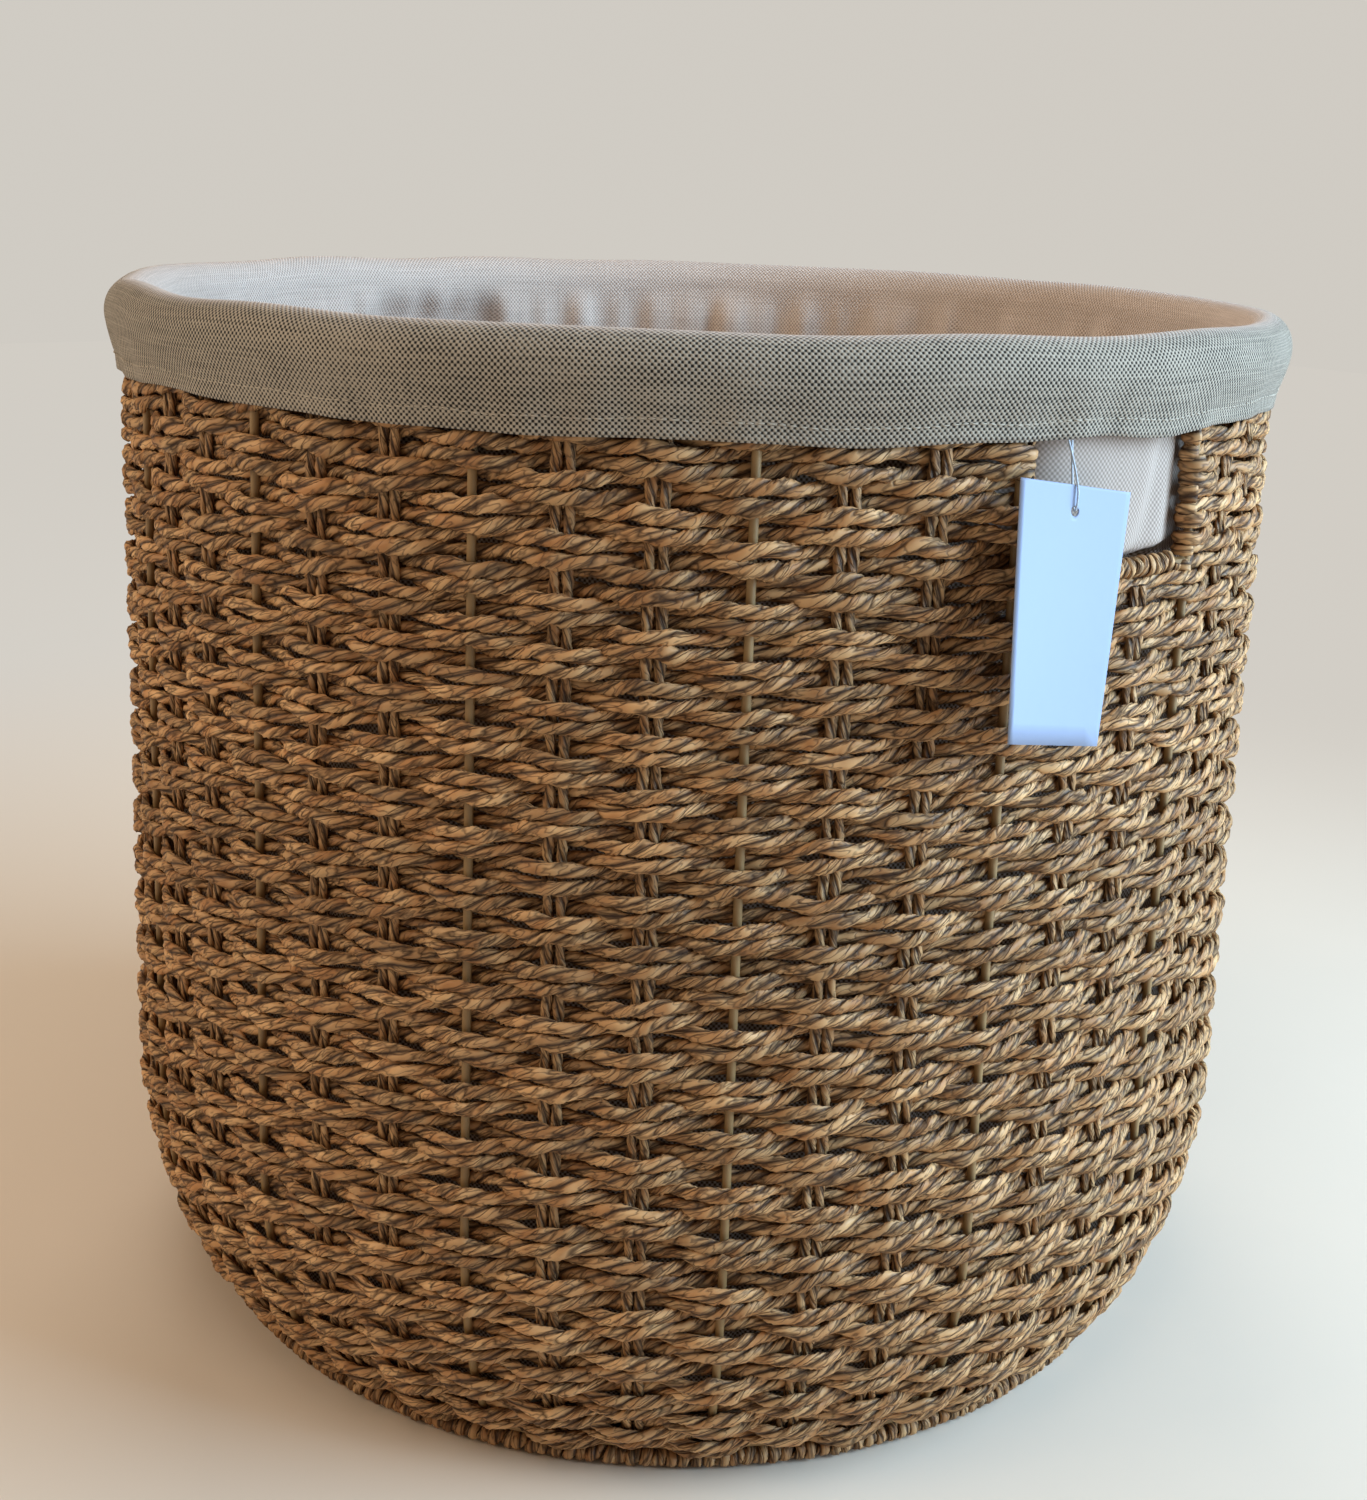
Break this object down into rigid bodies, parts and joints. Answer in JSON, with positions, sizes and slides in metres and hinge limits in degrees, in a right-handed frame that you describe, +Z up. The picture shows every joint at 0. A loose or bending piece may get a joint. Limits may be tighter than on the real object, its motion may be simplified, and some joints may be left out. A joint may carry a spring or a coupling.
{
  "type": "woven laundry basket",
  "caption": "Round woven laundry basket on a wire frame, with hand-hold openings in its sides, a lift-out cloth liner whose cuff folds over the rim, and a blank swing tag.",
  "frame": {"origin": "centre of the basket on the floor that it stands on", "axes": "+Z up along the basket's axis, +X and -X through the middle of the two hand-holds, the swing tag beside the +X one"},
  "size_m": [0.4592, 0.4592, 0.402],
  "materials": {
    "paper_cord": "twisted kraft paper cord, matt",
    "frame_wire": "brown painted steel wire, satin",
    "liner_cloth": "plain woven cotton and linen cloth, matt",
    "tag_card": "blank white card",
    "tag_thread": "clear nylon thread"
  },
  "bodies": {
    "basket": {"base_mat": "paper_cord", "base_spokes": "frame_wire", "cord_stakes": "paper_cord", "foot_border": "paper_cord", "foot_hoop": "frame_wire", "hub_hoop": "frame_wire", "rim_border": "paper_cord", "rim_hoop": "frame_wire", "sill_rods": "frame_wire", "sill_wraps": "paper_cord", "weave_row_01": "paper_cord", "weave_row_02": "paper_cord", "weave_row_03": "paper_cord", "weave_row_04": "paper_cord", "weave_row_05": "paper_cord", "weave_row_06": "paper_cord", "weave_row_07": "paper_cord", "weave_row_08": "paper_cord", "weave_row_09": "paper_cord", "weave_row_10": "paper_cord", "weave_row_11": "paper_cord", "weave_row_12": "paper_cord", "weave_row_13": "paper_cord", "weave_row_14": "paper_cord", "weave_row_15": "paper_cord", "weave_row_16": "paper_cord", "weave_row_17": "paper_cord", "weave_row_18": "paper_cord", "weave_row_19": "paper_cord", "weave_row_20": "paper_cord", "weave_row_21": "paper_cord", "weave_row_22": "paper_cord", "weave_row_23": "paper_cord", "wire_stakes": "frame_wire"},
    "liner": {"liner_floor": "liner_cloth", "liner_side": "liner_cloth"},
    "tag": {"hang_tag": "tag_card", "tag_string": "tag_thread"}
  },
  "joints": [
    {"name": "liner_lift", "type": "slide", "parent": "basket", "child": "liner", "axis": [0, 0, 1], "range_m": [0, 0.4]},
    {"name": "tag_swing", "type": "hinge", "parent": "liner", "child": "tag", "pos_m": [0.22326, -0.03058, 0.37025], "axis": [0.9907, -0.1357, 0], "range_deg": [-20, 20]}
  ]
}
